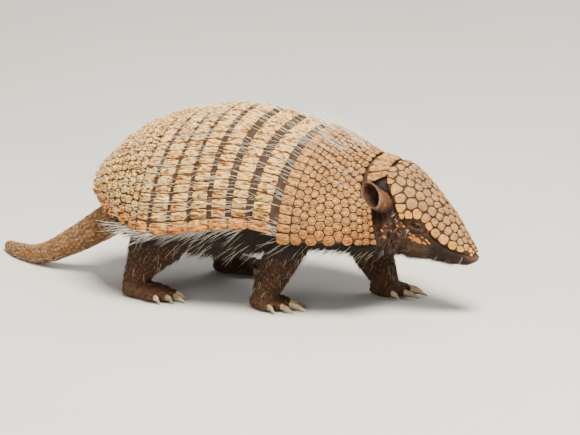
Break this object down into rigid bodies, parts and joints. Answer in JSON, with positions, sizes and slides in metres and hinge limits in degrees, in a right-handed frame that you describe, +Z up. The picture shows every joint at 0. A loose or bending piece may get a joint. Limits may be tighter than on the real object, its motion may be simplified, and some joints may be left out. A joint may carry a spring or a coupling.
{
  "type": "armadillo",
  "caption": "Life-size still model of a six-banded armadillo walking, with a banded shell, head shield, clawed feet and a tail laid on the floor.",
  "frame": {"origin": "centre of the model's box, on the floor that the feet stand on", "axes": "+X forwards, out of the head; +Y to the animal's left; +Z up"},
  "size_m": [0.5021, 0.1846, 0.178],
  "materials": {
    "shell": "dry horn over bone, rough",
    "skin": "matt, wrinkled, thinly haired",
    "eye": "wet and glossy",
    "claw": "horn, slightly worn"
  },
  "bodies": {
    "root": {"head_shield": "shell", "nuchal_band": "shell", "scapular_shield": "shell", "band_1": "shell", "band_2": "shell", "band_3": "shell", "band_4": "shell", "band_5": "shell", "band_6": "shell", "pelvic_shield": "shell", "trunk": "skin", "neck": "skin", "head": "skin", "tail": "skin", "ear_right": "skin", "ear_left": "skin", "leg_fore_right": "skin", "leg_fore_left": "skin", "leg_hind_right": "skin", "leg_hind_left": "skin", "eye_right": "eye", "eye_left": "eye", "claw_fore_right_1": "claw", "claw_fore_right_2": "claw", "claw_fore_right_3": "claw", "claw_fore_right_4": "claw", "claw_fore_right_5": "claw", "claw_fore_left_1": "claw", "claw_fore_left_2": "claw", "claw_fore_left_3": "claw", "claw_fore_left_4": "claw", "claw_fore_left_5": "claw", "claw_hind_right_1": "claw", "claw_hind_right_2": "claw", "claw_hind_right_3": "claw", "claw_hind_right_4": "claw", "claw_hind_right_5": "claw", "claw_hind_left_1": "claw", "claw_hind_left_2": "claw", "claw_hind_left_3": "claw", "claw_hind_left_4": "claw", "claw_hind_left_5": "claw"}
  },
  "joints": []
}
